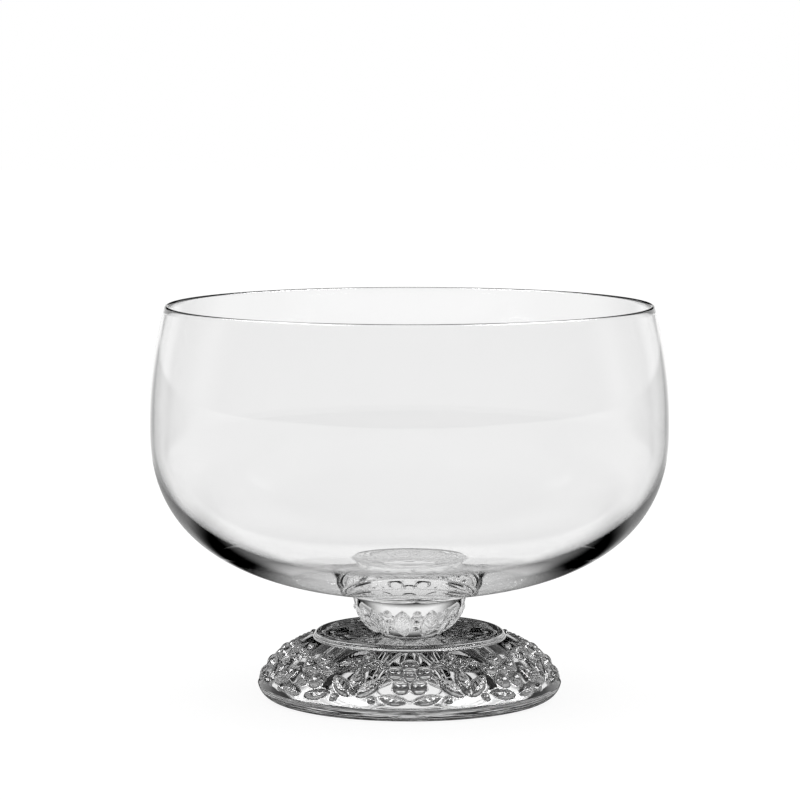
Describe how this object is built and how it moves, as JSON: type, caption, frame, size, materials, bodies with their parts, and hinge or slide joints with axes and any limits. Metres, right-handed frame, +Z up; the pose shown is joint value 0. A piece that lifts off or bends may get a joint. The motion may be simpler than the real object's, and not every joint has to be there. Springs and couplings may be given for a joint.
{
  "type": "footed dessert bowl",
  "caption": "Thin clear glass dessert bowl with a gently drawn-in rim, on a short cup-shaped stem and a pressed glass foot with a relief of rosettes, leaves and berries.",
  "frame": {"origin": "middle of the flat standing ring under the foot, at table height", "axes": "+Z up along the axis of the bowl; +X through the middle of one rosette of the foot; +Y through the rosette a quarter turn on"},
  "size_m": [0.112, 0.112, 0.085],
  "materials": {
    "blown_glass": "clear, fire-polished",
    "pressed_glass": "clear, pressed and polished",
    "clear_bond": "clear cured adhesive"
  },
  "bodies": {
    "root": {"bowl": "blown_glass", "bowl_bond": "clear_bond", "stem": "pressed_glass", "stem_bond": "clear_bond", "foot": "pressed_glass"}
  },
  "joints": []
}
